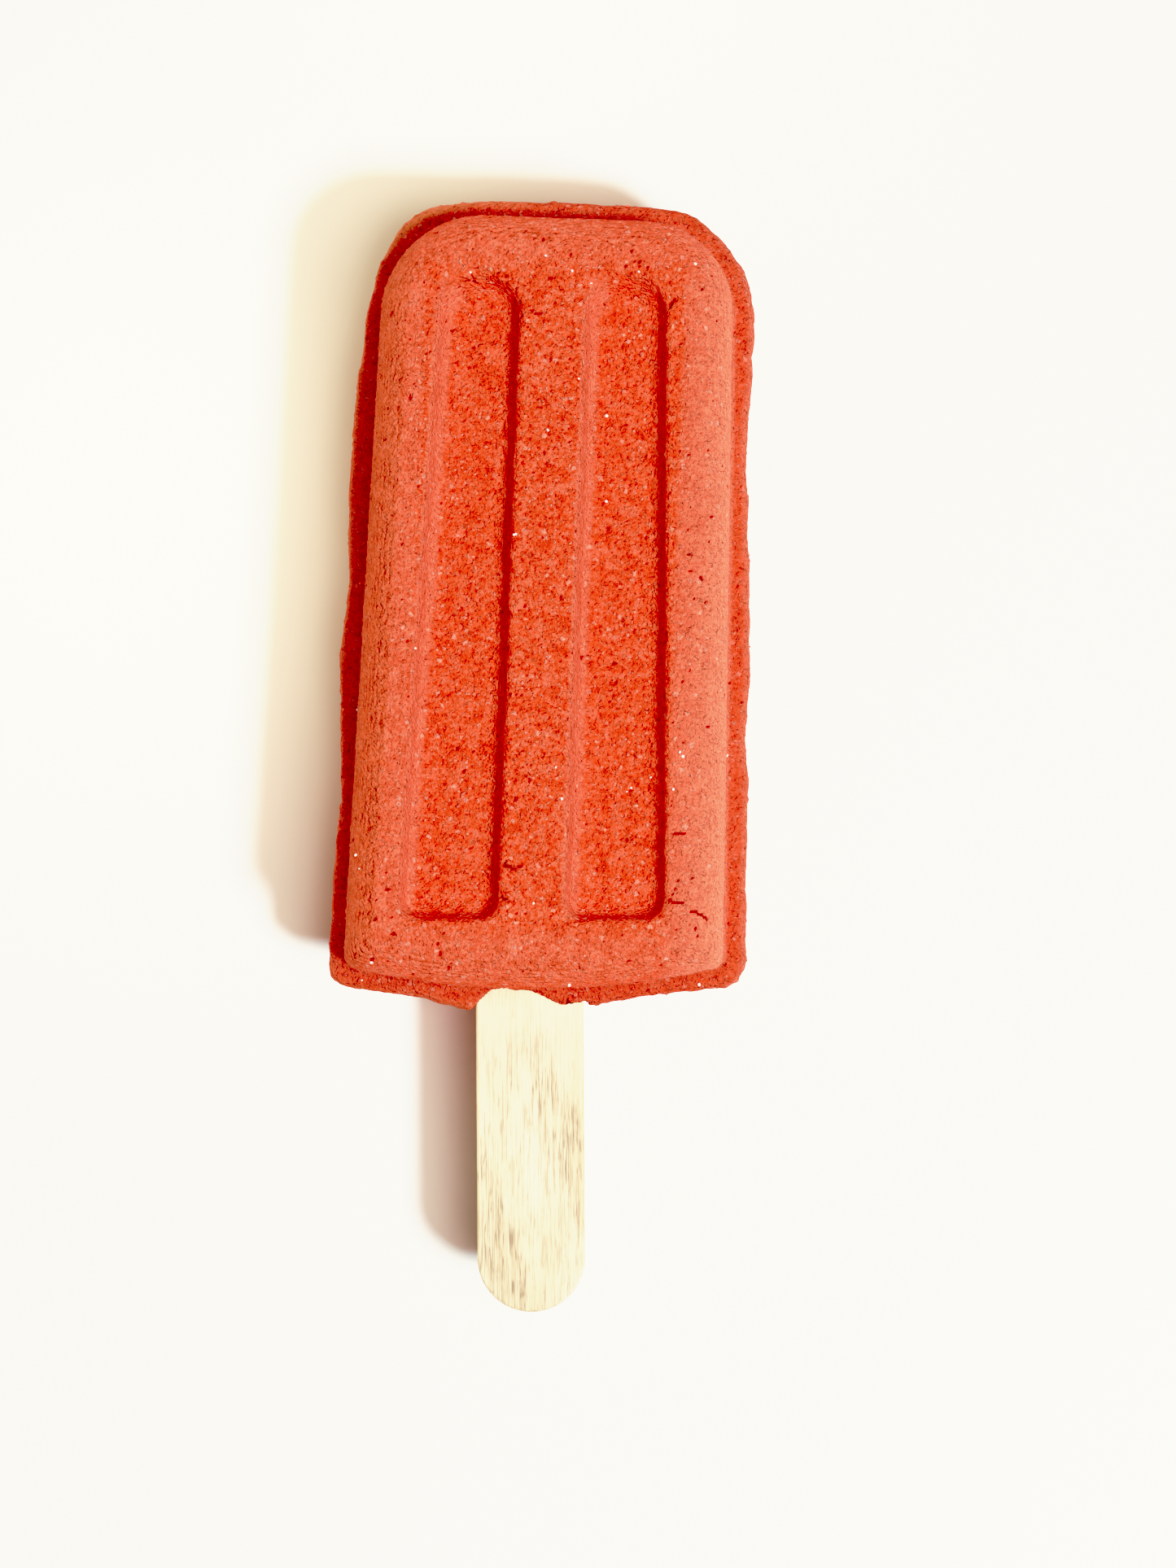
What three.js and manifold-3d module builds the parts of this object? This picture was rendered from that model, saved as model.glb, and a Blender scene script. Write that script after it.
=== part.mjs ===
// A bath bomb shaped like an ice pop: grainy powder pressed in a two-part mould, on a flat wooden stick.
// Millimetres. It lies on its back, with X across it, Y along it towards the rounded crown and Z up.
// The origin is on the face that it rests on, half way between its crown and its foot.
import * as THREE from 'three';
import { mergeVertices } from 'three/addons/utils/BufferGeometryUtils.js';
import Module from 'manifold-3d';

const wasm = await Module();
wasm.setup();

const { degToRad, lerp, mapLinear } = THREE.MathUtils;
const QUARTER = Math.PI / 2;
const CUT_MARGIN = 1; // how far a cut runs past the surface that it opens

// ---- Block: both halves, pressed together at the seam ----
const THICKNESS = 20;
const SEAM_Z = THICKNESS / 2;
const CROWN_Y = 35.1;
const FOOT_Y = -34; // where the sides end
const CROWN_HALF_WIDTH = 16.1;
const FOOT_HALF_WIDTH = 17.6;
const RIGHT_SHOULDER_RADIUS = 8.4;
const LEFT_SHOULDER_RADIUS = 9.6;
const FOOT_CORNER_RADIUS = 1.2;
const FOOT_BOW = 1.8; // the foot bulges by this much in its middle
const SLANT = degToRad(1.8); // of the foot and of the grooves' ends: the right side is the higher one
const RIM_RADIUS = 3.3; // rounding between the walls and the two faces
const RIM_STEPS = 7;
const WALL_DRAFT = degToRad(2.2); // the walls lean inward, away from the seam
const SHOULDER_STEPS = 14;
const CORNER_STEPS = 5;
const FOOT_STEPS = 12;

// ---- Grooves: two side by side on each face ----
const GROOVE_PAIR_X = -0.28; // the pair sits a little off the middle
const GROOVE_TOP_Y = 29.1; // on the middle line, as both ends slant
const GROOVE_FOOT_Y = -29.47;
const GROOVE_INNER_X = 2.68; // half the land between the grooves
const GROOVE_OUTER_X_AT_TOP = 10.6;
const GROOVE_OUTER_X_AT_FOOT = 12.35;
const GROOVE_TOP_CORNER = 3.2;
const GROOVE_FOOT_CORNER = 2.0;
const GROOVE_DEPTH = 2.7;
const GROOVE_WALL_SLOPE = degToRad(74);
const GROOVE_RIM_ROUND = 0.3;
const GROOVE_FLOOR_FILLET = 1.1;
const GROOVE_FLOOR_CORNER = 0.5; // the least corner radius at the floor
const GROOVE_RIM_STEPS = 2;
const GROOVE_FILLET_STEPS = 5;
const GROOVE_ARC_STEPS = 5;

// ---- Seam flash: the sheet of powder squeezed out between the two halves ----
const FLASH_THICKNESS = 3.4;
const FLASH_BEVEL = 0.8; // the crumbled outer edge
const FLASH_BEVEL_STEPS = 3;
const FLASH_POINTS = 320;
// How far it stands out from the block, by the distance round the seam, clockwise from the crown's middle.
const FLASH_OVERHANG = [
  [0, 2.12], // crown
  [8, 2.02],
  [11.5, 2.26],
  [14, 2.05], // right shoulder
  [20, 2.08],
  [26, 2.0],
  [29, 1.72],
  [33, 1.5], // worn place below the right shoulder
  [39.5, 1.74],
  [46, 1.98],
  [54, 2.1],
  [60.5, 1.78],
  [63, 2.14],
  [71, 2.03],
  [79, 2.12],
  [80.7, 2.3], // right foot corner
  [82.5, 1.85],
  [86, 1.54],
  [90, 1.58],
  [94, 1.88],
  [97, 2.35], // right of the stick
  [104, 2.4], // left of the stick
  [109, 1.72],
  [112.5, 1.74],
  [114.4, 1.94],
  [115.7, 2.14], // left foot corner
  [116.8, 1.54],
  [126, 1.5],
  [131.6, 1.24],
  [138, 1.7],
  [145, 2.1],
  [150.5, 1.68],
  [160, 2.12],
  [168, 2.06],
  [174.5, 1.58],
  [178, 1.3], // chip on the left shoulder
  [181, 1.76],
  [184.5, 2.62],
  [186.2, 2.5],
  [188.3, 2.05],
  [198, 2.12],
];
const FLASH_WAVES = [
  { size: 0.04, length: 5.3, phase: 0.4 },
  { size: 0.03, length: 2.9, phase: 2.1 },
];

// ---- Stick ----
const STICK_WIDTH = 10;
const STICK_LENGTH = 65;
const STICK_THICKNESS = 2;
const STICK_END_Y = -65.95; // the free end
const STICK_END_X = 0.95;
const STICK_TURN = degToRad(2.45); // it is pressed in slightly askew
const STICK_EDGE = 0.25; // softened edge
const STICK_ARC_STEPS = 12;
const STICK_GAP = 0.3; // between the stick and the powder

// The broken edge of the flash over the stick, left to right: its front layer is missing below this line.
const BREAK_EDGE = [
  [-5.8, -38.6],
  [-5.0, -37.3],
  [-3.8, -36.2],
  [-2.6, -35.95],
  [-1.1, -36.25],
  [0.1, -36.2],
  [0.8, -36.55],
  [1.9, -37.1],
  [3.3, -37.6],
  [4.6, -38.4],
];
const BREAK_REACH = 4; // how far its cut runs past the flash

/** The block's half width at a place along it. */
function halfWidth(y) {
  return mapLinear(y, CROWN_Y, FOOT_Y, CROWN_HALF_WIDTH, FOOT_HALF_WIDTH);
}

/** The points of an arc about a corner's centre, clockwise where the second angle is the smaller. */
function arcPoints({ x, y, radius }, from, to, steps) {
  return new THREE.EllipseCurve(x, y, radius, radius, from, to, to < from).getPoints(steps);
}

/** The block's outline, drawn in by an inset, clockwise from the right end of the crown. */
function blockOutline(inset) {
  const taper = Math.atan((FOOT_HALF_WIDTH - CROWN_HALF_WIDTH) / (CROWN_Y - FOOT_Y));
  const bowAngle = Math.atan((2 * FOOT_BOW) / FOOT_HALF_WIDTH);
  const shoulder = (side, radius) => {
    const y = CROWN_Y - radius;
    return { x: side * (halfWidth(y) - radius), y, radius: radius - inset };
  };
  const footCorner = (side) => {
    const y = FOOT_Y + side * FOOT_HALF_WIDTH * Math.tan(SLANT) + inset + FOOT_CORNER_RADIUS;
    return { x: side * (halfWidth(y) - inset - FOOT_CORNER_RADIUS), y, radius: FOOT_CORNER_RADIUS };
  };

  const rightEnd = SLANT + bowAngle - QUARTER;
  const leftEnd = SLANT - bowAngle - QUARTER;
  const rightCorner = arcPoints(footCorner(1), taper, rightEnd, CORNER_STEPS);
  const leftCorner = arcPoints(footCorner(-1), leftEnd, -Math.PI - taper, CORNER_STEPS);
  const footMiddle = new THREE.Vector2(0, FOOT_Y + inset - 2 * FOOT_BOW);
  const foot = new THREE.QuadraticBezierCurve(rightCorner.at(-1), footMiddle, leftCorner[0]);
  return [
    ...arcPoints(shoulder(1, RIGHT_SHOULDER_RADIUS), QUARTER, taper, SHOULDER_STEPS),
    ...rightCorner,
    ...foot.getPoints(FOOT_STEPS).slice(1, -1),
    ...leftCorner,
    ...arcPoints(shoulder(-1, LEFT_SHOULDER_RADIUS), Math.PI - taper, QUARTER, SHOULDER_STEPS),
  ];
}

/** A closed geometry through rings of equal counts, each { z, points }, the lowest first. */
function loft(rings) {
  const isClockwise = THREE.ShapeUtils.isClockWise(rings[0].points);
  const loops = rings.map(({ z, points }) => ({ z, points: isClockwise ? [...points].reverse() : points }));
  const count = loops[0].points.length;
  const top = (loops.length - 1) * count;
  const vertices = loops.flatMap(({ z, points }) => points.flatMap(({ x, y }) => [x, y, z]));
  const triangles = [];
  for (let ring = 0; ring < loops.length - 1; ring++) {
    for (let i = 0; i < count; i++) {
      const a = ring * count + i;
      const b = ring * count + ((i + 1) % count);
      triangles.push(a, b, b + count, a, b + count, a + count);
    }
  }
  for (const [a, b, c] of THREE.ShapeUtils.triangulateShape(loops[0].points, [])) {
    triangles.push(c, b, a);
  }
  for (const [a, b, c] of THREE.ShapeUtils.triangulateShape(loops.at(-1).points, [])) {
    triangles.push(top + a, top + b, top + c);
  }
  const geometry = new THREE.BufferGeometry();
  geometry.setAttribute('position', new THREE.Float32BufferAttribute(vertices, 3));
  geometry.setIndex(triangles);
  return geometry;
}

/** The rings of a rounded edge on a slab's upper side, from its wall up to its face. */
function roundedEdge(faceZ, radius, steps) {
  return Array.from({ length: steps + 1 }, (_, step) => {
    const angle = (step / steps) * QUARTER;
    return { z: faceZ - radius * (1 - Math.sin(angle)), inset: radius * (1 - Math.cos(angle)) };
  });
}

/** The same rings mirrored about the seam, with the ones given. */
function bothHalves(upper) {
  const lower = upper.map(({ z, inset }) => ({ z: 2 * SEAM_Z - z, inset })).reverse();
  return [...lower, ...upper];
}

/** The plain block: its rims are rounded and its walls lean inward, away from the seam. */
function blockGeometry() {
  const middle = { z: SEAM_Z + FLASH_THICKNESS / 4, inset: 0 };
  const upper = [middle, ...roundedEdge(THICKNESS, RIM_RADIUS, RIM_STEPS)];
  return loft(bothHalves(upper).map(({ z, inset }) => {
    const lean = Math.abs(z - SEAM_Z) * Math.tan(WALL_DRAFT);
    return { z, points: blockOutline(inset + lean) };
  }));
}

/** How far the flash stands out at a distance round the seam, with its waves. */
function overhangAt(distance) {
  const next = FLASH_OVERHANG.findIndex(([place]) => place > distance);
  const [place, overhang] = FLASH_OVERHANG[next - 1];
  const [nextPlace, nextOverhang] = FLASH_OVERHANG[next];
  const blend = (1 - Math.cos((Math.PI * (distance - place)) / (nextPlace - place))) / 2;
  const waves = FLASH_WAVES.map((w) => w.size * Math.sin((2 * Math.PI * distance) / w.length + w.phase));
  return lerp(overhang, nextOverhang, blend) + waves.reduce((sum, wave) => sum + wave, 0);
}

/** The sheet of flash, through the whole block, with a worn and uneven edge. */
function flashGeometry() {
  const outline = new THREE.Shape([new THREE.Vector2(0, CROWN_Y), ...blockOutline(0)]);
  outline.closePath();
  const length = outline.getLength();
  const seam = outline.getSpacedPoints(FLASH_POINTS).slice(0, FLASH_POINTS);
  const outward = seam.map((_, i) => {
    const before = seam[(i + FLASH_POINTS - 1) % FLASH_POINTS];
    const after = seam[(i + 1) % FLASH_POINTS];
    const along = after.clone().sub(before).normalize();
    return new THREE.Vector2(-along.y, along.x);
  });
  const edgePoints = (inset) => seam.map((point, i) => {
    const overhang = overhangAt((i / FLASH_POINTS) * length) - inset;
    return point.clone().addScaledVector(outward[i], overhang);
  });
  const upper = roundedEdge(SEAM_Z + FLASH_THICKNESS / 2, FLASH_BEVEL, FLASH_BEVEL_STEPS);
  return loft(bothHalves(upper).map(({ z, inset }) => ({ z, points: edgePoints(inset) })));
}

/** The right groove's outline, drawn in by an inset, or the left one's where side is -1. */
function grooveOutline(side, inset) {
  const corner = (isTop, isOuter) => {
    const radius = isTop ? GROOVE_TOP_CORNER : GROOVE_FOOT_CORNER;
    const shrunk = Math.max(radius - inset, GROOVE_FLOOR_CORNER);
    const endY = isTop ? GROOVE_TOP_Y : GROOVE_FOOT_Y;
    const outerX = isTop ? GROOVE_OUTER_X_AT_TOP : GROOVE_OUTER_X_AT_FOOT;
    const x = isOuter ? outerX - inset - shrunk : GROOVE_INNER_X + inset + shrunk;
    const slant = side * x * Math.tan(SLANT);
    const y = endY + slant + (isTop ? -1 : 1) * (inset + shrunk);
    return { x, y, radius: shrunk };
  };
  const corners = [corner(true, true), corner(true, false), corner(false, false), corner(false, true)];
  const points = corners.flatMap((centre, turn) => (
    arcPoints(centre, turn * QUARTER, (turn + 1) * QUARTER, GROOVE_ARC_STEPS)
  ));
  return points.map(({ x, y }) => new THREE.Vector2(side * x + GROOVE_PAIR_X, y));
}

/** A groove's wall in section, from its rim down to the floor: how far in, and how far down. */
function grooveWall() {
  const rimArc = new THREE.EllipseCurve(
    0, GROOVE_RIM_ROUND, GROOVE_RIM_ROUND, GROOVE_RIM_ROUND, -QUARTER, GROOVE_WALL_SLOPE - QUARTER,
  ).getPoints(GROOVE_RIM_STEPS);
  const fillet = new THREE.EllipseCurve(
    0, 0, GROOVE_FLOOR_FILLET, GROOVE_FLOOR_FILLET, QUARTER + GROOVE_WALL_SLOPE, QUARTER, true,
  ).getPoints(GROOVE_FILLET_STEPS);
  const rimEnd = rimArc.at(-1);
  const filletTop = GROOVE_DEPTH - GROOVE_FLOOR_FILLET + fillet[0].y;
  const straightRun = (filletTop - rimEnd.y) / Math.tan(GROOVE_WALL_SLOPE);
  const filletX = rimEnd.x + straightRun - fillet[0].x;
  return [
    ...rimArc,
    ...fillet.map(({ x, y }) => new THREE.Vector2(filletX + x, GROOVE_DEPTH - GROOVE_FLOOR_FILLET + y)),
  ];
}

/** What is cut out for one groove of the front face. */
function grooveGeometry(side) {
  const wall = grooveWall().reverse();
  const rings = wall.map(({ x, y }) => ({ z: THICKNESS - y, points: grooveOutline(side, x) }));
  return loft([...rings, { z: THICKNESS + CUT_MARGIN, points: grooveOutline(side, 0) }]);
}

/** The stick, grown by a margin all round. */
function stickGeometry(margin) {
  const radius = STICK_WIDTH / 2 + margin;
  const reach = STICK_LENGTH / 2 - STICK_WIDTH / 2;
  const outline = new THREE.Shape();
  outline.absarc(0, reach, radius, 0, Math.PI, false);
  outline.absarc(0, -reach, radius, Math.PI, 2 * Math.PI, false);
  const geometry = new THREE.ExtrudeGeometry(outline, {
    depth: STICK_THICKNESS - 2 * STICK_EDGE + 2 * margin,
    curveSegments: STICK_ARC_STEPS,
    bevelThickness: STICK_EDGE,
    bevelSize: STICK_EDGE,
    bevelOffset: -STICK_EDGE,
    bevelSegments: 2,
  });
  return geometry.translate(0, STICK_LENGTH / 2, -STICK_THICKNESS / 2 + STICK_EDGE - margin);
}

/** Puts a stick's geometry in its place, askew in the seam. */
function placeStick(geometry) {
  return geometry.rotateZ(STICK_TURN).translate(STICK_END_X, STICK_END_Y, SEAM_Z);
}

/** What is missing from the front layer of the flash, over the stick. */
function breakGeometry() {
  const edge = BREAK_EDGE.map(([x, y]) => new THREE.Vector2(x, y));
  const [left] = edge;
  const right = edge[edge.length - 1];
  const outline = new THREE.Shape([
    ...edge,
    new THREE.Vector2(right.x, right.y - BREAK_REACH),
    new THREE.Vector2(left.x, left.y - BREAK_REACH),
  ]);
  const geometry = new THREE.ExtrudeGeometry(outline, { depth: FLASH_THICKNESS, bevelEnabled: false });
  return geometry.translate(0, 0, SEAM_Z);
}

/** A manifold solid of a closed geometry, which keeps only its positions. */
function toSolid(geometry) {
  geometry.deleteAttribute('normal');
  geometry.deleteAttribute('uv');
  const merged = mergeVertices(geometry);
  return new wasm.Manifold(new wasm.Mesh({
    numProp: 3,
    vertProperties: new Float32Array(merged.attributes.position.array),
    triVerts: new Uint32Array(merged.index.array),
  }));
}

/** The geometry of a manifold solid. */
function toGeometry(solid) {
  const { vertProperties, triVerts } = solid.getMesh();
  const geometry = new THREE.BufferGeometry();
  geometry.setAttribute('position', new THREE.BufferAttribute(vertProperties, 3));
  geometry.setIndex(new THREE.BufferAttribute(triVerts, 1));
  geometry.computeVertexNormals();
  return geometry;
}

/** Turns a cutter of the front face over to the back face. */
function turnedToBack(geometry) {
  return geometry.translate(0, 0, -SEAM_Z).rotateY(Math.PI).translate(0, 0, SEAM_Z);
}

/** The block with its flash, grooves and slot for the stick. */
function buildBlock() {
  const cutters = [
    ...[1, -1].map((side) => grooveGeometry(side)),
    ...[1, -1].map((side) => turnedToBack(grooveGeometry(side))),
    placeStick(stickGeometry(STICK_GAP)),
    breakGeometry(),
  ];
  const whole = toSolid(blockGeometry()).add(toSolid(flashGeometry()));
  const solid = cutters.reduce((rest, cutter) => rest.subtract(toSolid(cutter)), whole);
  const powder = new THREE.MeshStandardMaterial({ color: 0xe9573a, roughness: 0.95, metalness: 0 });
  const block = new THREE.Mesh(toGeometry(solid), powder);
  block.name = 'block';
  return block;
}

/** The flat wooden stick. */
function buildStick() {
  const wood = new THREE.MeshStandardMaterial({ color: 0xf8eecd, roughness: 0.7, metalness: 0 });
  const stick = new THREE.Mesh(toGeometry(toSolid(placeStick(stickGeometry(0)))), wood);
  stick.name = 'stick';
  return stick;
}

const icePop = new THREE.Group();
icePop.add(buildBlock(), buildStick());

export default icePop;
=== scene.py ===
"""A bath bomb shaped like an ice pop: the finish of its pressed powder and its wooden stick."""

import math
import random

import bmesh
import bpy
import numpy as np
from mathutils import Euler, Matrix, Vector, kdtree, noise
from mathutils.bvhtree import BVHTree


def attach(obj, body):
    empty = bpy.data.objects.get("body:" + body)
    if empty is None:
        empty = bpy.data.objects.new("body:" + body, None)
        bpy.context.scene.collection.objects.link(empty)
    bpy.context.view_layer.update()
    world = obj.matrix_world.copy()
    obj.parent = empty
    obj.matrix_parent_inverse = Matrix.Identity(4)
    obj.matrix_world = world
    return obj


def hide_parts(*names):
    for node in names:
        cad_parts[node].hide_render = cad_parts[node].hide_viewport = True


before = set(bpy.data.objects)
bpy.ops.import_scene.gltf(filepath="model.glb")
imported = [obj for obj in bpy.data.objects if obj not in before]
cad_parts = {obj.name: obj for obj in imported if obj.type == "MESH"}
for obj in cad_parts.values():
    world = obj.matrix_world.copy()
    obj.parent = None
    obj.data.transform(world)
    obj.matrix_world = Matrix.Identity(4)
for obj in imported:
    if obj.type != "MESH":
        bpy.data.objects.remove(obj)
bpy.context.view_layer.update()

# Shapes are worked in millimetres and brought to metres once they are done.
TO_MM = 1000.0
TO_METRES = 0.001

# ---- Block ----
SEAM_Z = 10.0
FACE_HEIGHT = 10.0  # from the seam to either face
FLOOR_HEIGHT = 7.3  # from the seam to a groove's floor
FLASH_HALF = 1.7
FLASH_LIMIT = 2.0  # the flash ends below this height from the seam
SIDE_BAND = (2.2, 3.0)  # heights from the seam where the block's own side is measured
GROOVE_TOPS = [(-8.6, 28.0), (6.0, 28.0)]  # the left side of each groove's upper end
TOP_REACH = (3.0, 2.2)  # how far the softening of these ends reaches in x and y
TOP_SMOOTHING = 120
SKIN_STEP = 0.25
SKIN_SMOOTHING = 3

SWELL_DEPTH, SWELL_SIZE = 0.05, 5.0
GRAIN_DEPTH, GRAIN_SIZE = 0.065, 0.60
CRUMBLE_DEPTH, CRUMBLE_SIZE = 0.16, 0.9
PIT_COUNT = 850
PIT_RADIUS = (0.10, 0.25)
PIT_DEEP = 0.95  # depth of a pit over its radius
LUMP_COUNT = 2600
LUMP_RADIUS = (0.2, 0.36)
LUMP_RISE = 0.09

# Larger holes of the front face: place, half length, half width, turn in degrees.
HOLES = [
    ((6.3, -5.5), 0.36, 0.26, -10), ((8.7, -3.6), 0.42, 0.17, -12), ((9.4, -2.9), 0.24, 0.2, 30),
    ((6.7, -7.5), 0.30, 0.17, 65), ((8.7, -9.9), 0.26, 0.2, 80), ((-1.9, -0.9), 0.27, 0.2, 25),
    ((4.3, -4.5), 0.22, 0.12, 20), ((3.5, -4.9), 0.27, 0.12, 60), ((12.9, 4.3), 0.24, 0.18, -40),
    ((14.6, 0.2), 0.25, 0.13, 0), ((1.4, 0.2), 0.35, 0.16, 35), ((2.9, 6.2), 0.28, 0.11, -55),
    ((12.6, -7.2), 0.25, 0.17, 70), ((5.4, -7.1), 0.22, 0.15, 0), ((7.4, 30.6), 0.36, 0.22, 10),
    ((6.1, 30.2), 0.26, 0.22, 60), ((6.7, 31.6), 0.3, 0.18, 15), ((8.1, 30.2), 0.25, 0.2, 0),
    ((-0.7, 29.0), 0.22, 0.4, 20), ((-1.3, 32.3), 0.2, 0.36, -20), ((13.2, 28.3), 0.22, 0.15, 0),
    ((-2.2, -18.3), 0.42, 0.2, 20), ((-7.6, -13.9), 0.25, 0.3, 60), ((-6.0, -14.2), 0.2, 0.35, 0),
    ((-6.8, -16.0), 0.28, 0.2, 20), ((-14.5, -29.6), 0.36, 0.2, 10), ((-12.6, -31.0), 0.22, 0.4, 25),
    ((-8.4, -32.6), 0.2, 0.5, -28), ((-14.9, -34.2), 0.42, 0.24, 20), ((-7.6, -34.3), 0.36, 0.2, 30),
    ((-5.4, 29.1), 0.30, 0.12, -25), ((-4.6, 28.9), 0.26, 0.14, -40), ((-3.7, 27.8), 0.20, 0.14, 60),
    ((-3.4, 26.7), 0.24, 0.12, 80), ((-3.2, 25.3), 0.30, 0.12, 85), ((-8.0, 27.5), 0.20, 0.12, -20),
    ((-7.4, 27.1), 0.24, 0.20, 0), ((-8.1, 26.5), 0.22, 0.16, 20), ((-7.2, 26.6), 0.16, 0.12, 0),
    ((-2.9, -8.9), 0.22, 0.10, 30), ((-2.4, -9.0), 0.20, 0.10, -20), ((-1.9, -8.8), 0.24, 0.10, 10),
    ((12.8, -25.0), 0.20, 0.12, 30), ((12.7, -25.8), 0.25, 0.12, 80), ((12.4, -26.4), 0.20, 0.12, 0),
    ((14.6, -29.5), 0.32, 0.18, 70), ((14.9, -30.2), 0.25, 0.15, 40),
]
# Cracks of the front face: the points that each runs through, its width and its depth.
CRACKS = [
    ([(12.0, -27.0), (12.9, -27.1), (13.5, -27.3)], 0.10, 0.20),
    ([(14.2, -27.8), (15.0, -28.1), (16.0, -28.5)], 0.11, 0.24),
    ([(12.3, -20.9), (12.9, -20.8), (13.4, -21.0)], 0.10, 0.18),
    ([(10.1, 26.6), (10.4, 27.1), (10.7, 27.5)], 0.40, 0.70),
    ([(-2.9, -24.2), (-2.0, -24.6), (-1.3, -24.4)], 0.26, 0.45),
    ([(-3.1, -27.2), (-2.4, -27.4)], 0.26, 0.50),
    ([(-2.2, 25.8), (-1.3, 25.6)], 0.12, 0.20),
    ([(-5.2, -4.8), (-4.6, -4.7), (-3.8, -4.85)], 0.13, 0.22),
]
CRACK_STEP = 0.12
HOLE_DEPTH = 0.32
# The crack in the foot's flash is a row of pits.
FOOT_CRACK = Vector((3.45, -36.9, 11.7))
FOOT_CRACK_PITS = 8
FOOT_CRACK_STEP = 0.13
FOOT_CRACK_RADIUS = 0.2
FOOT_CRACK_DEPTH = 0.7

# Pale crystals of the front face, by place, then how many more are strewn over the block.
CRYSTALS = [
    (7.96, -17.26), (8.35, -16.9), (1.46, -15.28), (-16.36, -23.88), (-16.0, -25.1), (-14.7, -33.55),
    (-7.88, 29.19), (1.31, 29.57), (7.33, 29.78), (-3.05, 5.59), (-11.67, -5.0), (3.04, 28.54),
    (12.60, -13.50), (12.90, -13.90),
]
STREWN_CRYSTALS = 26
CRYSTAL_RADIUS = (0.11, 0.21)
CRYSTAL_SINK = 0.55  # the part of its radius by which a grain is sunk in
CRUMB_COUNT = 130
CRUMB_RADIUS = (0.07, 0.15)
CRUMB_SINK = 0.65
ABOVE_ALL = 40.0  # a height over the block, from which places on its front are found

# ---- Stick ----
STICK_WIDTH = 10.0
STICK_LENGTH = 65.0
STICK_THICKNESS = 2.0
STICK_END = Vector((0.95, -65.95, SEAM_Z))
STICK_TURN = math.radians(2.45)
STICK_EDGE = 0.28
STICK_END_POINTS = 72

# ---- View and light ----
CAMERA_PLACE = Vector((4.41, -16.69, 336.0)) * TO_METRES
CAMERA_ROLL = math.radians(2.07)
CAMERA_LENS = 80.3
LIGHT_HEIGHT = 0.9
# Each light: its place and its breadth, both over the lights' height, its watts and its colour.
LIGHTS = {
    "window": ((0.40, -0.22, 1.0), (0.18, 0.18), 10.2, (1.0, 1.0, 1.0)),
    "glow": ((0.17, 0.06, 1.0), (0.50, 0.55), 3.7, (1.0, 0.98, 0.94)),
    "far_wall": ((-2.2, 1.6, 1.0), (1.5, 1.5), 9.0, (1.0, 0.96, 0.90)),
    "low_wall": ((-2.1, 1.55, 0.16), (1.5, 1.5), 260.0, (1.0, 0.96, 0.90)),
}
FLOOR_LIGHTS = {
    "floor_high": ((0.31, -0.20, 1.0), (0.52, 0.52), 9.2, (1.0, 0.79, 0.65)),
    "floor_side": ((0.62, -0.41, 1.0), (0.25, 0.25), 33.5, (0.85, 0.95, 1.0)),
}
# Pale cards over the floor beside the block: place and size in mm, watts and colour.
FLOOR_CARDS = {
    "card_left": ((-46.0, 10.0, 35.0), (30.0, 60.0), 0.019, (1.0, 0.92, 0.56)),
    "card_top": ((-4.0, 70.0, 35.0), (50.0, 30.0), 0.015, (1.0, 0.92, 0.56)),
}
FLOOR_SIZE = 1.5  # half of the floor's side in metres
FLOOR_COLOUR = (0.60, 0.60, 0.60, 1)
ROOM = (0.15, 0.110, 0.063)  # the light that comes from the room
WALLS = (0.80, 0.79, 0.76)  # the room as it looks behind the floor
# The darkest greens and blues fall away in the deep reds of the powder, and whites level off.
RED_CURVE = [(0.86, 0.86), (1.0, 0.92), (1.15, 0.938), (1.4, 0.948)]
GREEN_CURVE = [(0.048, 0.0), (0.056, 0.014), (0.064, 0.036), (0.074, 0.058), (0.09, 0.084),
               (0.12, 0.118), (0.16, 0.16), (0.86, 0.86), (1.0, 0.905), (1.15, 0.922), (1.4, 0.938)]
BLUE_CURVE = [(0.018, 0.0), (0.03, 0.007), (0.04, 0.018), (0.05, 0.035), (0.065, 0.06),
              (0.08, 0.08), (0.80, 0.80), (0.95, 0.85), (1.1, 0.873), (1.4, 0.895)]
CURVE_END = (2.0, 0.975)


# ---------------------------------------------------------------- helpers

def mesh_piece(name, mesh, material, stands_for=None):
    """Puts a finished mesh into the scene as a piece of the object."""
    mesh.name = name
    mesh.materials.clear()
    mesh.materials.append(material)
    piece = bpy.data.objects.new(name, mesh)
    bpy.context.collection.objects.link(piece)
    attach(piece, "root")
    if stands_for:
        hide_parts(stands_for)


def to_mesh(bm, name):
    mesh = bpy.data.meshes.new(name)
    bm.to_mesh(mesh)
    bm.free()
    return mesh


def shade(mesh, smooth):
    mesh.polygons.foreach_set("use_smooth", [smooth] * len(mesh.polygons))


def noise_at(points, size, seed):
    """Smooth noise from -1 to 1 at each point, with features of about the given size."""
    shift = Vector((seed * 17.3, seed * -9.1, seed * 5.7))
    return np.array([noise.noise(Vector(p) / size + shift) for p in points])


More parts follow.
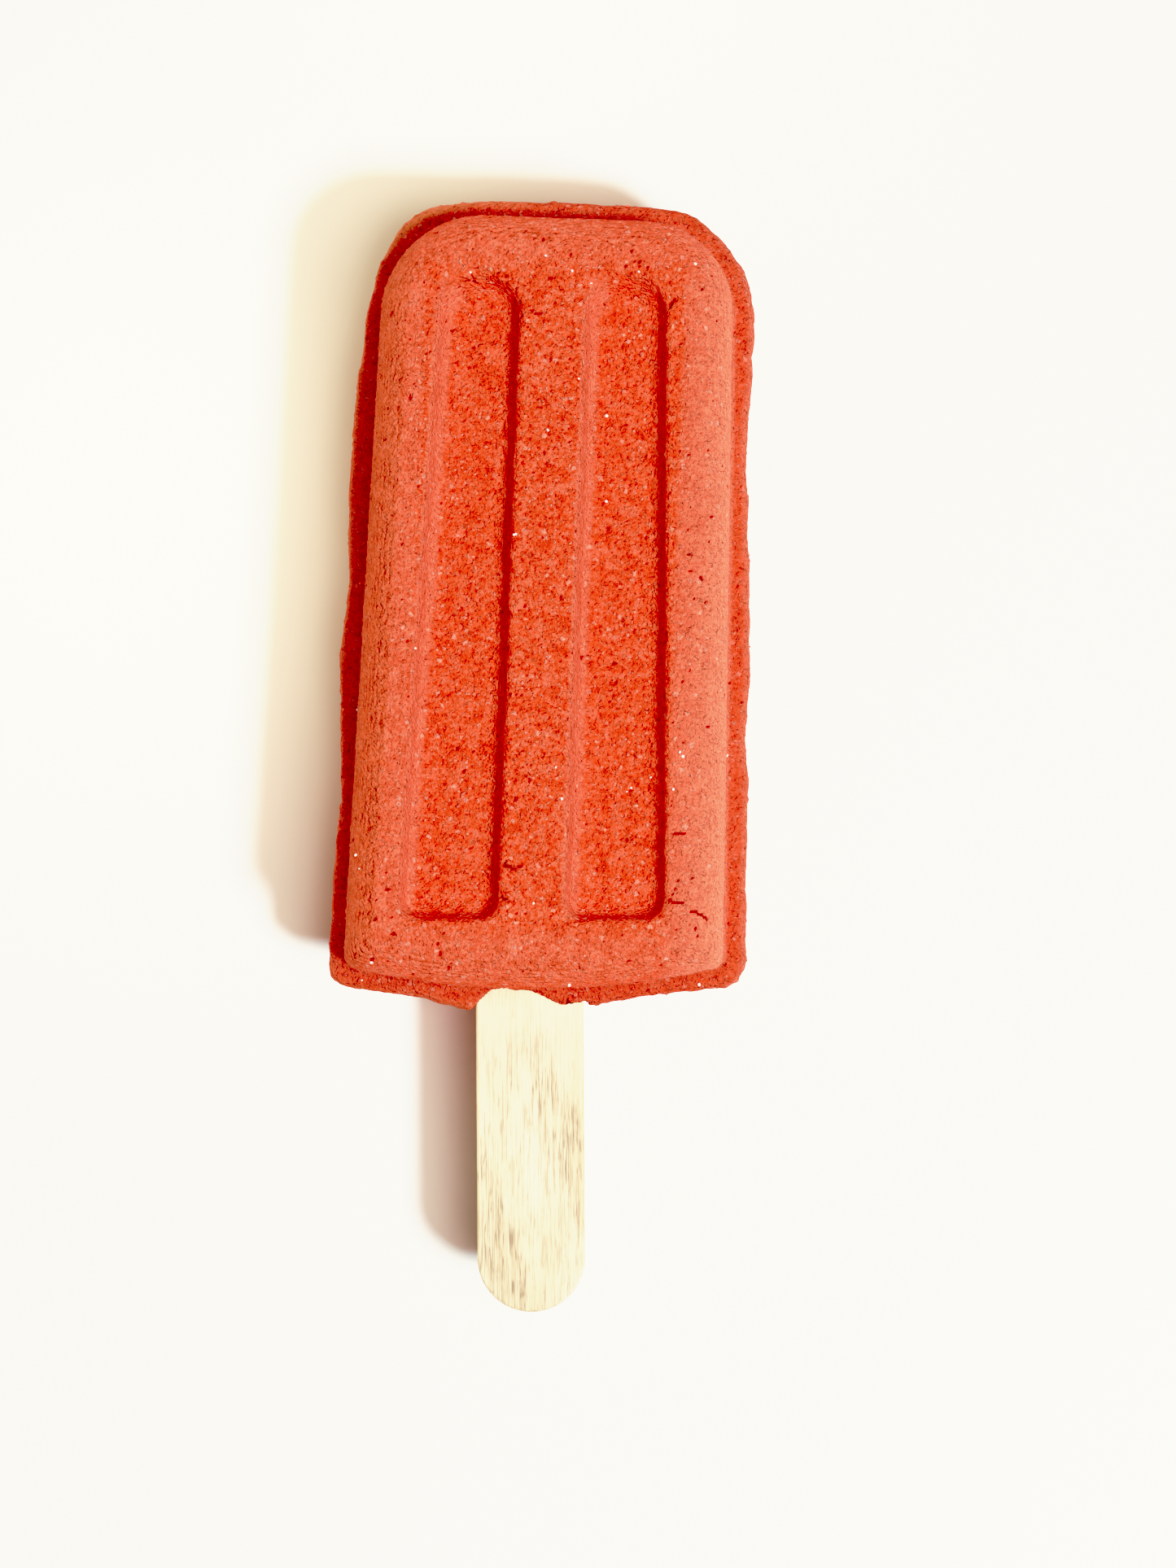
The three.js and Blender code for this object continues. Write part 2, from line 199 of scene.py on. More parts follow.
class Nodes:
    """A material's node tree, with short calls to add and join nodes."""

    def __init__(self, name):
        self.material = bpy.data.materials.new(name)
        self.material.use_nodes = True
        self.tree = self.material.node_tree
        self.shader = self.tree.nodes["Principled BSDF"]

    def put(self, socket, value):
        if isinstance(value, bpy.types.NodeSocket):
            self.tree.links.new(value, socket)
        else:
            socket.default_value = value

    def add(self, kind, inputs=None, **settings):
        node = self.tree.nodes.new("ShaderNode" + kind)
        for key, value in settings.items():
            setattr(node, key, value)
        for key, value in (inputs or {}).items():
            self.put(node.inputs[key], value)
        return node.outputs

    def set(self, **values):
        for key, value in values.items():
            self.put(self.shader.inputs[key.replace("_", " ")], value)

    def maths(self, operation, *values):
        return self.add("Math", dict(enumerate(values)), operation=operation)[0]

    def times(self, first, *others):
        for other in others:
            first = self.maths("MULTIPLY", first, other)
        return first

    def most(self, first, *others):
        for other in others:
            first = self.maths("MAXIMUM", first, other)
        return first

    def ramp(self, value, low, high, to_low=0.0, to_high=1.0, smooth=True):
        inputs = {"Value": value, "From Min": low, "From Max": high,
                  "To Min": to_low, "To Max": to_high}
        kind = "SMOOTHSTEP" if smooth else "LINEAR"
        return self.add("MapRange", inputs, interpolation_type=kind)["Result"]

    def mix(self, factor, first, second):
        node = self.tree.nodes.new("ShaderNodeMix")
        node.data_type = "RGBA"
        self.put(node.inputs["Factor"], factor)
        self.put(node.inputs[6], first)
        self.put(node.inputs[7], second)
        return node.outputs[2]

    def noise(self, place, scale, detail=2.0, roughness=0.5):
        inputs = {"Vector": place, "Scale": scale, "Detail": detail, "Roughness": roughness}
        return self.add("TexNoise", inputs)["Fac"]

    def attribute(self, name):
        return self.add("Attribute", attribute_name=name)["Fac"]

    def bump(self, lift, distance, strength=1.0):
        """A bump from the lift, with its distance in millimetres."""
        inputs = {"Height": lift, "Strength": strength, "Distance": distance * TO_METRES}
        return self.add("Bump", inputs)["Normal"]

    def millimetres(self):
        """Object coordinates in millimetres."""
        place = self.add("TexCoord")["Object"]
        return self.add("VectorMath", {0: place, "Scale": TO_MM}, operation="SCALE")["Vector"]


# ---------------------------------------------------------------- materials

POWDER_ORANGE = (0.71, 0.062, 0.022, 1)
POWDER_CORAL = (0.89, 0.108, 0.045, 1)
POWDER_PINK = (0.99, 0.200, 0.100, 1)
# Paler tone of the dry bloom, and painted highlight on what faces the light.
POWDER_BLOOM_AND_HIGHLIGHT = (0.99, 0.310, 0.175, 1)
POWDER_GRAIN = (1.0, 0.410, 0.275, 1)
POWDER_SEAM = (0.58, 0.086, 0.042, 1)
# Painted shade for the grooves' floors, in their recesses.
POWDER_FLOOR_SHADE = (0.66, 0.070, 0.024, 1)
# Painted light on the outer part of the upper left flash.
POWDER_LEDGE_LIGHT = (0.92, 0.27, 0.11, 1)
# Painted fill light on the left shoulder, which faces away from the light.
POWDER_SHOULDER_FILL = (0.93, 0.190, 0.080, 1)
# Painted shade where the surface sinks.
POWDER_DIP_SHADE = (0.72, 0.055, 0.016, 1)
# Painted shade in gaps, specks and holes.
POWDER_PIT_SHADE = (0.42, 0.008, 0.002, 1)
POWDER_LAYER = (0.50, 0.050, 0.012, 1)
# Cells to a millimetre of each kind of grain, gap and speck.
COARSE_GRAINS = 1.75
SMALL_GRAINS = 3.6
GAPS = 2.6
SPECKS = 3.9
LAYER_HEIGHT = 0.27
GRAIN_BUMP = 0.36


class Powder(Nodes):
    """Pressed powder: orange to pink grains, a dry bloom that is partly painted highlight, gaps
    darkened as painted shade, painted light and shade elsewhere, and a printed mould's layers.
    """

    def __init__(self):
        super().__init__("pressed_powder")
        self.place = self.millimetres()
        self.axes = self.add("SeparateXYZ", {0: self.place})
        self.height = self.maths("ABSOLUTE", self.maths("SUBTRACT", self.axes["Z"], SEAM_Z))
        self.slope = self.attribute("slope")
        self.lean = self.attribute("lean")

        # Steep places are less rough, apart from the left shoulder.
        steep = self.ramp(self.slope, 0.1, 0.6)
        self.rough = self.maths("SUBTRACT", 1.0, self.times(steep, 0.3))
        # Where the left shoulder turns away from the light; its colour gets painted fill light there,
        # and its relief and layer lines are made stronger.
        turned_left = self.times(self.ramp(self.lean, -0.08, -0.30), self.ramp(self.height, 5.0, 6.5))
        self.shoulder = self.times(turned_left, self.ramp(self.axes["X"], -11.8, -14.8, 0, 0.45))

        # Angular grains of two sizes, and a fine noise over them.
        wander = self.add("TexNoise", {"Vector": self.place, "Scale": 2.6, "Detail": 2.0})["Color"]
        wander = self.add("VectorMath", {0: wander, "Scale": 0.5}, operation="SCALE")["Vector"]
        self.moved = self.add("VectorMath", {0: self.place, 1: wander}, operation="ADD")["Vector"]
        self.coarse, self.coarse_draw = self.cells(COARSE_GRAINS)
        self.small, self.small_draw = self.cells(SMALL_GRAINS)
        self.fine = self.noise(self.place, 3.0, 3.0, 0.7)

    def cells(self, scale):
        """How far each point is from its cell's middle, and three numbers drawn for the cell."""
        cells = self.add("TexVoronoi", {"Vector": self.moved, "Scale": scale})
        return cells["Distance"], self.add("SeparateColor", {0: cells["Color"]})

    def grain_colour(self):
        """Each grain has its own tone between orange and pink."""
        broad = self.noise(self.place, 0.75, 3.0, 0.6)
        tone = self.times(self.coarse_draw["Red"], 0.35)
        tone = self.maths("ADD", tone, self.times(self.small_draw["Red"], 0.55))
        tone = self.maths("ADD", tone, self.times(self.fine, 0.9))
        tone = self.maths("ADD", tone, self.times(broad, 1.1))
        colour = self.mix(self.ramp(tone, 1.10, 1.45, smooth=False), POWDER_ORANGE, POWDER_CORAL)
        return self.mix(self.ramp(tone, 1.45, 1.82, smooth=False), colour, POWDER_PINK)

    def seam_and_floor_shade(self, colour):
        """The flash is duller, and the grooves' floors are painted a little darker, as painted shade in
        the recesses.
        """
        colour = self.mix(self.ramp(self.height, 2.4, 1.8, 0, 0.6), colour, POWDER_SEAM)
        low = self.ramp(self.height, FACE_HEIGHT - 1.0, FLOOR_HEIGHT + 0.5, 0, 0.15)
        return self.mix(self.times(low, self.ramp(self.height, 4.0, 6.0)), colour, POWDER_FLOOR_SHADE)

    def bloom_and_highlight(self, colour):
        """A dry bloom makes the margin round the grooves paler; most of all down the right side and on
        whatever faces right, towards the light, the paleness is painted highlight.
        """
        x = self.axes["X"]
        left = self.times(self.ramp(x, -11.4, -12.4, 0, 0.20), self.ramp(x, -16.4, -14.0))
        right = self.times(self.ramp(x, 11.0, 17.0, 0.12, 0.85, False), self.ramp(x, 11.2, 11.9))
        ends = self.ramp(self.maths("ABSOLUTE", self.axes["Y"]), 28.5, 32.0, 0, 0.20)
        ends = self.times(ends, self.ramp(self.height, FLOOR_HEIGHT, FACE_HEIGHT - 0.9))
        bloom_and_highlight_amount = self.times(self.most(left, right, ends), self.ramp(self.height, 1.9, 3.0))
        # Painted highlight on surfaces that face right, towards the light.
        bloom_and_highlight_amount = self.most(bloom_and_highlight_amount, self.ramp(self.lean, 0.08, 0.6, 0, 0.36))
        return self.mix(bloom_and_highlight_amount, colour, POWDER_BLOOM_AND_HIGHLIGHT)

    def left_side_painted_light(self, colour):
        """Painted light: the outer part of the upper left flash is painted warmer and paler where light
        falls past the block's shadow, and the left shoulder, turned away from the light, gets a warmer
        painted fill light.
        """
        upper = self.ramp(self.axes["Y"], 14.0, 24.0, 0.25, 1.0)
        outer = self.ramp(self.attribute("reach"), 1.2, 2.1, 0, 0.7)
        ledge_light = self.times(upper, self.ramp(self.axes["X"], 0.0, -8.0), outer)
        colour = self.mix(ledge_light, colour, POWDER_LEDGE_LIGHT)
        return self.mix(self.shoulder, colour, POWDER_SHOULDER_FILL)

    def pale_grains(self):
        """Rare pale grains, fewer of them on what faces left, away from the light, as painted shade
        there.
        """
        small = self.times(self.ramp(self.small, 0.46, 0.30),
                           self.ramp(self.small_draw["Green"], 0.84, 0.96, 0, 0.75))
        large = self.times(self.ramp(self.coarse, 0.44, 0.30),
                           self.ramp(self.coarse_draw["Green"], 0.88, 0.97, 0, 0.75))
        pale = self.times(self.most(small, large), self.ramp(self.lean, -0.3, -0.1))
        return self.times(pale, self.ramp(self.height, 1.9, 3.0, 0.6, 1.0))

    def dip_shade(self):
        """The powder is painted darker where its surface sinks, as painted shade in the small hollows.
        """
        dip_shade_amount = self.ramp(self.fine, 0.44, 0.30, 0, 0.6)
        return self.times(dip_shade_amount, self.ramp(self.height, 1.9, 3.0, 0.8, 1.0))

    def gaps(self, pale):
        """Gaps between the grains, in patches, and single specks, none of them in a pale grain; the
        colour paints them dark as painted shade.
        """
        cracks = {"Vector": self.moved, "Scale": GAPS}
        edge = self.add("TexVoronoi", cracks, feature="DISTANCE_TO_EDGE")["Distance"]
        patches = self.ramp(self.noise(self.place, 1.5, 3.0, 0.6), 0.60, 0.68)
        gap = self.times(self.ramp(edge, 0.09, 0.03), patches)
        middle, draw = self.cells(SPECKS)
        speck = self.times(self.ramp(middle, 0.36, 0.24), self.ramp(draw["Blue"], 0.92, 0.97))
        return self.times(self.most(gap, speck), self.rough, self.maths("SUBTRACT", 1.0, pale))

    def layers(self):
        """Fine lines that the printed mould left on every rounding: their colour and their ridges."""
        sway = self.times(self.noise(self.place, 0.9, 3.0, 0.6), 0.45)
        level = self.maths("ADD", self.axes["Z"], sway)
        waves = self.maths("SINE", self.times(level, 2 * math.pi / LAYER_HEIGHT))
        here = self.ramp(self.noise(self.place, 0.7, 3.0), 0.42, 0.58, 0.1, 1.0)
        line = self.times(self.ramp(waves, 0.4, 1.0), self.ramp(self.slope, 0.01, 0.05), here,
                          self.ramp(self.slope, 0.6, 0.4, 0, 0.6))
        sides = self.ramp(self.maths("ABSOLUTE", self.axes["X"]), 12.4, 13.2)
        ends = self.ramp(self.maths("ABSOLUTE", self.axes["Y"]), 30.0, 31.0)
        rounding = self.most(sides, ends, self.ramp(self.lean, -0.02, -0.10))
        rounding = self.times(rounding, self.ramp(self.axes["X"], 8.0, 14.0, 1.0, 0.4))
        rounding = self.times(rounding, self.maths("ADD", 1.0, self.shoulder))
        return self.times(line, rounding), self.times(waves, here, rounding)

    def lift(self, sunk, ridges):
        """The grains stand up, the gaps sink and the layers ripple."""
        strength = self.times(self.coarse_draw["Blue"], 0.6)
        lift = self.times(self.ramp(self.coarse, 0.6, 0.1), strength)
        lift = self.maths("ADD", lift, self.times(self.ramp(self.small, 0.6, 0.1), 0.4))
        lift = self.maths("ADD", lift, self.times(self.fine, 1.5))
        lift = self.maths("SUBTRACT", lift, self.times(sunk, 0.7))
        lift = self.times(lift, self.maths("ADD", self.rough, self.shoulder))
        return self.maths("SUBTRACT", lift, self.times(ridges, 0.10))


def powder_material():
    nodes = Powder()
    pale = nodes.pale_grains()
    sunk = nodes.gaps(pale)
    line, ridges = nodes.layers()
    hole = nodes.ramp(nodes.attribute("hole"), 0.2, 0.7)

    colour = nodes.seam_and_floor_shade(nodes.grain_colour())
    colour = nodes.left_side_painted_light(nodes.bloom_and_highlight(colour))
    colour = nodes.mix(pale, colour, POWDER_GRAIN)
    colour = nodes.mix(nodes.dip_shade(), colour, POWDER_DIP_SHADE)
    # Painted shade: gaps, specks and holes are darkened.
    colour = nodes.mix(nodes.most(nodes.times(sunk, 0.55), hole), colour, POWDER_PIT_SHADE)
    colour = nodes.mix(line, colour, POWDER_LAYER)
    nodes.set(Base_Color=colour, Normal=nodes.bump(nodes.lift(sunk, ridges), GRAIN_BUMP),
              Roughness=0.9, Specular_IOR_Level=0.05)
    return nodes.material


CRYSTAL_DULL = (0.98, 0.80, 0.72, 1)
CRYSTAL_CLEAR = (0.98, 0.93, 0.88, 1)


def crystal_material():
    nodes = Nodes("pale_crystal")
    tone = nodes.noise(nodes.millimetres(), 3.0)
    colour = nodes.mix(nodes.ramp(tone, 0.35, 0.65), CRYSTAL_DULL, CRYSTAL_CLEAR)
    nodes.set(Base_Color=colour, Roughness=0.45)
    return nodes.material


def crumb_material():
    nodes = Nodes("loose_powder")
    tone = nodes.noise(nodes.millimetres(), 2.0)
    colour = nodes.mix(nodes.ramp(tone, 0.35, 0.65), POWDER_CORAL, POWDER_PINK)
    nodes.set(Base_Color=colour, Roughness=0.9)
    return nodes.material


WOOD = (0.83, 0.68, 0.420, 1)
WOOD_TAN = (0.56, 0.38, 0.200, 1)
WOOD_GREY = (0.31, 0.225, 0.130, 1)
WOOD_PALE = (0.95, 0.80, 0.510, 1)
WOOD_SIDE = (0.80, 0.64, 0.30, 1)
FIBRE_BUMP = 0.05


def wood_material():
    nodes = Nodes("raw_birch")
    place = nodes.add("TexCoord")["Object"]
    from_end = {"Vector": place, "Location": -STICK_END * TO_METRES}
    place = nodes.add("Mapping", from_end, vector_type="POINT")["Vector"]
    turned = {"Vector": place, "Rotation": (0, 0, -STICK_TURN), "Scale": (TO_MM,) * 3}
    place = nodes.add("Mapping", turned)["Vector"]
    axes = nodes.add("SeparateXYZ", {0: place})

    def stretched(across, lengthwise, detail, roughness=0.5):
        point = nodes.add("Mapping", {"Vector": place, "Scale": (across, lengthwise, across)})["Vector"]
        return nodes.noise(point, 1.0, detail, roughness)

    broad = stretched(0.35, 0.05, 2.0)
    fibre = stretched(2.4, 0.12, 4.0, 0.7)
    fine = stretched(5.5, 0.30, 2.0, 0.5)
    hair = stretched(2.6, 0.08, 2.0, 0.5)
    thread = stretched(4.4, 0.12, 2.0, 0.5)

    # A faint figure slants down across the face, and the fibres show most in it.
    figure = nodes.maths("ADD", nodes.times(axes["Y"], 0.16), nodes.times(axes["X"], 0.42))
    figure = nodes.maths("ADD", figure, nodes.times(stretched(0.5, 0.12, 3.0), 2.6))
    bands = nodes.ramp(nodes.maths("SINE", nodes.times(figure, 1.5)), -0.1, 0.9)

    colour = nodes.mix(nodes.ramp(broad, 0.35, 0.65), WOOD, WOOD_PALE)
    colour = nodes.mix(nodes.times(bands, nodes.ramp(fibre, 0.35, 0.6, 0.12, 0.30)), colour, WOOD_TAN)
    thick = nodes.times(nodes.ramp(fibre, 0.50, 0.70, 0, 0.38), nodes.ramp(bands, 0, 1, 0.5, 1))
    colour = nodes.mix(thick, colour, WOOD_TAN)
    thin = nodes.times(nodes.ramp(fine, 0.57, 0.67, 0, 0.35), nodes.ramp(bands, 0, 1, 0.3, 1))
    colour = nodes.mix(thin, colour, WOOD_GREY)
    for strand, breaks in ((hair, 1.5), (thread, 2.3)):
        line = nodes.maths("ABSOLUTE", nodes.maths("SUBTRACT", strand, 0.5))
        broken = nodes.ramp(stretched(breaks, 0.5, 2.0), 0.38, 0.58, 0.2, 0.9)
        line = nodes.times(nodes.ramp(line, 0.06, 0.01), broken, nodes.ramp(bands, 0, 1, 0.55, 1))
        colour = nodes.mix(line, colour, WOOD_GREY)
    near_block = nodes.ramp(axes["Y"], STICK_LENGTH * 0.30, STICK_LENGTH * 0.46, 0, 0.65)
    colour = nodes.mix(near_block, colour, WOOD_PALE)

    from_middle = nodes.maths("ABSOLUTE", axes["X"])
    side = nodes.ramp(from_middle, STICK_WIDTH / 2 - 0.35, STICK_WIDTH / 2 - 0.05, 0, 0.4)
    colour = nodes.mix(side, colour, WOOD_SIDE)
    lift = nodes.maths("ADD", fibre, nodes.times(fine, 0.5))
    nodes.set(Base_Color=colour, Normal=nodes.bump(lift, FIBRE_BUMP, 0.5), Roughness=0.62,
              Specular_IOR_Level=0.4)
    return nodes.material


# ---------------------------------------------------------------- block

def smooth_once(bm, verts):
    bmesh.ops.smooth_vert(bm, verts=verts, factor=0.5,
                          use_axis_x=True, use_axis_y=True, use_axis_z=True)


def fine_skin(node):
    """A copy of the node's mesh in millimetres, rebuilt from even small squares and smoothed."""
    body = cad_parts[node]
    bm = bmesh.new()
    bm.from_mesh(body.data)
    bm.transform(Matrix.Scale(TO_MM, 4) @ body.matrix_world)
    bmesh.ops.remove_doubles(bm, verts=bm.verts, dist=1e-4)
    rough = bpy.data.objects.new("rough", to_mesh(bm, "rough"))
    bpy.context.collection.objects.link(rough)
    voxels = rough.modifiers.new("voxels", "REMESH")
    voxels.mode = "VOXEL"
    voxels.voxel_size = SKIN_STEP
    graph = bpy.context.evaluated_depsgraph_get()
    skin = bpy.data.meshes.new_from_object(rough.evaluated_get(graph))
    bpy.data.objects.remove(rough)

    bm = bmesh.new()
    bm.from_mesh(skin)
    for _ in range(SKIN_SMOOTHING):
        smooth_once(bm, bm.verts)
    # The upper ends of the grooves run out softly on their left.
    for x, y in GROOVE_TOPS:
        soft = [v for v in bm.verts if v.co.z > SEAM_Z + FLOOR_HEIGHT - 0.5
                and abs(v.co.x - x) < TOP_REACH[0] and abs(v.co.y - y) < TOP_REACH[1]]
        for _ in range(TOP_SMOOTHING):
            smooth_once(bm, soft)
    bm.normal_update()
    return bm


class Relief:
    """How far each point of the skin moves in or out, and how much of a hole it lies in, which the
    colour darkens as painted shade.
    """

    def __init__(self, bm, seed):
        self.random = random.Random(seed)
        self.bm = bm
        self.points = np.array([v.co for v in bm.verts])
        self.normals = np.array([v.normal for v in bm.verts])
        self.move = np.zeros(len(self.points))
        self.hole = np.zeros(len(self.points))
        self.tree = kdtree.KDTree(len(self.points))
        for index, point in enumerate(self.points):
            self.tree.insert(point, index)
        self.tree.balance()

    def near(self, centre, reach):
        found = self.tree.find_range(centre, reach)
        indices = np.array([index for _, index, _ in found], dtype=int)
        return indices, self.points[indices] - np.array(centre)

    def pit(self, centre, normal, length, width, turn, depth, pit_shade=1.0):
        """An oval hole with an uneven rim, darkened in colour by the given amount of painted shade."""
        indices, offset = self.near(centre, max(length, width) * 1.5)
        if not len(indices):
            return
        first = normal.orthogonal().normalized()
        first.rotate(Matrix.Rotation(turn, 3, normal))
        second = normal.cross(first)
        across = (offset @ np.array(first)) / length
        aside = (offset @ np.array(second)) / width
        spread = np.sqrt(across ** 2 + aside ** 2)
        spread *= 1 + 0.22 * np.sin(3 * np.arctan2(aside, across) + self.random.uniform(0, 6))
        inside = np.clip(1.25 - spread, 0, 1)
        inside = inside * inside * (3 - 2 * inside)
        sunk = self.move[indices] * (1 - inside) - depth * inside
        self.move[indices] = np.minimum(self.move[indices], sunk)
        self.hole[indices] = np.maximum(self.hole[indices], inside * pit_shade)

    def scatter_pits(self):
        thick = noise_at(self.points[::40], 5.0, 3)
        chosen = 0
        while chosen < PIT_COUNT:
            pick = self.random.randrange(len(thick))
            if self.random.random() > 0.3 + 1.6 * max(0.0, thick[pick]):
                continue
            index = min(pick * 40 + self.random.randrange(40), len(self.points) - 1)
            radius = self.random.triangular(PIT_RADIUS[0], PIT_RADIUS[1], PIT_RADIUS[0])
            longer = self.random.uniform(1.0, 2.1)
            turn = self.random.uniform(0, math.pi)
            # How dark the painted shade in this pit is.
            pit_shade = self.random.uniform(0.45, 1.0)
            self.pit(self.points[index], Vector(self.normals[index]), radius * longer, radius,
                     turn, radius * PIT_DEEP, pit_shade)
            chosen += 1

    def scatter_lumps(self):
        for _ in range(LUMP_COUNT):
            index = self.random.randrange(len(self.points))
            radius = self.random.uniform(*LUMP_RADIUS)
            indices, offset = self.near(self.points[index], radius)
            fall = 1 - np.linalg.norm(offset, axis=1) / radius
            self.move[indices] += LUMP_RISE * fall * (2 - fall)

    def crack(self, course, width, depth):
        """A ragged crack through the given points of the front face."""
        for start, end in zip(course, course[1:]):
            start, end = Vector(start), Vector(end)
            steps = max(2, int((end - start).length / CRACK_STEP))
            for step in range(steps):
                x, y = start.lerp(end, step / steps)
                x += self.random.uniform(-0.06, 0.06)
                y += self.random.uniform(-0.06, 0.06)
                centre, index, _ = self.tree.find((x, y, SEAM_Z + FACE_HEIGHT))
                half = width / 2 * self.random.uniform(0.7, 1.25)
                deep = depth * self.random.uniform(0.6, 1)
                self.pit(centre, Vector(self.normals[index]), half, half, 0, deep)

    def reach(self):
        """How far out each point of the flash lies from the block's own side."""
        above = np.abs(self.points[:, 2] - SEAM_Z)
        side = self.points[(above > SIDE_BAND[0]) & (above < SIDE_BAND[1])]
        foot = kdtree.KDTree(len(side))
        for index, (x, y, _) in enumerate(side):
            foot.insert((x, y, 0), index)
        foot.balance()
        return [foot.find((x, y, 0))[2] if high < FLASH_LIMIT else 0.0
                for (x, y, _), high in zip(self.points, above)]

    def apply(self):
        holes = self.bm.verts.layers.float.new("hole")
        reaches = self.bm.verts.layers.float.new("reach")
        for vertex, reach in zip(self.bm.verts, self.reach()):
            vertex[reaches] = reach
        slopes = self.bm.verts.layers.float.new("slope")
        leans = self.bm.verts.layers.float.new("lean")
        for vertex, normal, move, hole in zip(self.bm.verts, self.normals, self.move, self.hole):
            vertex.co += Vector(normal) * move
            vertex[holes] = hole
            vertex[slopes] = 1 - abs(normal[2])
            vertex[leans] = normal[0]
        self.bm.normal_update()


def roughened(bm):
    relief = Relief(bm, 11)
    points, normals = relief.points, relief.normals
    above = np.abs(points[:, 2] - SEAM_Z)
    upright = 1 - np.abs(normals[:, 2])
    on_rim = (above < FLASH_HALF + 0.1) * np.clip(upright * 2.2 - 0.6, 0, 1)

    relief.move += SWELL_DEPTH * noise_at(points, SWELL_SIZE, 1)
    relief.move += GRAIN_DEPTH * noise_at(points, GRAIN_SIZE, 2) * (1 - 0.4 * upright)
    relief.move -= CRUMBLE_DEPTH * on_rim * np.clip(noise_at(points, CRUMBLE_SIZE, 4) + 0.15, 0, 1)
    relief.scatter_lumps()
    relief.scatter_pits()
    for place, length, width, turn in HOLES:
        centre, index, _ = relief.tree.find((*place, SEAM_Z + FACE_HEIGHT))
        relief.pit(centre, Vector(normals[index]), length, width, math.radians(turn), HOLE_DEPTH)
    for course, width, depth in CRACKS:
        relief.crack(course, width, depth)
    for down in range(FOOT_CRACK_PITS):
        sway = 0.05 * math.sin(down * 2.1)
        centre = FOOT_CRACK + Vector((sway, 0.45 - FOOT_CRACK_STEP * down, 0))
        relief.pit(centre, Vector((0, 0, 1)), FOOT_CRACK_RADIUS, FOOT_CRACK_RADIUS,
                   0, FOOT_CRACK_DEPTH)
    relief.apply()


def half_block(bm, front):
    """The part of the skin on one side of the seam, closed by a flat face there."""
    half = bm.copy()
    everything = half.verts[:] + half.edges[:] + half.faces[:]
    side = Vector((0, 0, 1 if front else -1))
    bmesh.ops.bisect_plane(half, geom=everything, plane_co=(0, 0, SEAM_Z), plane_no=side,
                           clear_inner=True)
    open_edges = [edge for edge in half.edges if edge.is_boundary]
    cap = bmesh.ops.contextual_create(half, geom=open_edges)["faces"]
    for face in cap:
        face.smooth = False
        face.normal_update()
        if face.normal.dot(side) > 0:
            face.normal_flip()
    half.transform(Matrix.Scale(TO_METRES, 4))
    return half


def make_block(powder):
    bm = fine_skin("block")
    roughened(bm)
    for name, front in (("block_front", True), ("block_back", False)):
        mesh = to_mesh(half_block(bm, front), name)
        shade(mesh, True)
        mesh_piece(name, mesh, powder, "block")
    return bm


# ---------------------------------------------------------------- grains

def strewn(name, seeds, radii, material, sink, seed):
    """Small uneven grains set into the skin, all in one piece."""
    rng = random.Random(seed)
    bm = bmesh.new()
    for place, normal in seeds:
        radius = rng.uniform(*radii)
        squash = [rng.uniform(0.7, 1.3), rng.uniform(0.7, 1.1), rng.uniform(0.6, 1.0)]
        turn = Euler([rng.uniform(0, 2 * math.pi) for _ in range(3)]).to_matrix().to_4x4()
        centre = place + normal * radius * (1 - sink)
        shape = Matrix.Diagonal([part * radius for part in squash] + [1])
        matrix = Matrix.Translation(centre) @ turn @ shape
        grain = bmesh.ops.create_icosphere(bm, subdivisions=1, radius=1.0, matrix=matrix)
        for vertex in grain["verts"]:
            vertex.co += (vertex.co - centre) * rng.uniform(-0.22, 0.16)
    bm.transform(Matrix.Scale(TO_METRES, 4))
    bm.normal_update()
    mesh = to_mesh(bm, name)
    shade(mesh, False)
    mesh_piece(name, mesh, material)


def make_grains(skin):
    rng = random.Random(29)
    surface = BVHTree.FromBMesh(skin)
    skin.verts.ensure_lookup_table()

    def below(x, y):
        place, normal, _, _ = surface.ray_cast(Vector((x, y, ABOVE_ALL)), Vector((0, 0, -1)))
        return place, normal

    def anywhere():
        vertex = skin.verts[rng.randrange(len(skin.verts))]
        return vertex.co.copy(), vertex.normal.copy()

    crystals = [below(x, y) for x, y in CRYSTALS]
    crystals += [anywhere() for _ in range(STREWN_CRYSTALS)]
    strewn("pale_crystals", crystals, CRYSTAL_RADIUS, crystal_material(), CRYSTAL_SINK, seed=31)
    crumbs = [anywhere() for _ in range(CRUMB_COUNT)]
    strewn("loose_crumbs", crumbs, CRUMB_RADIUS, crumb_material(), CRUMB_SINK, seed=37)


# ---------------------------------------------------------------- stick

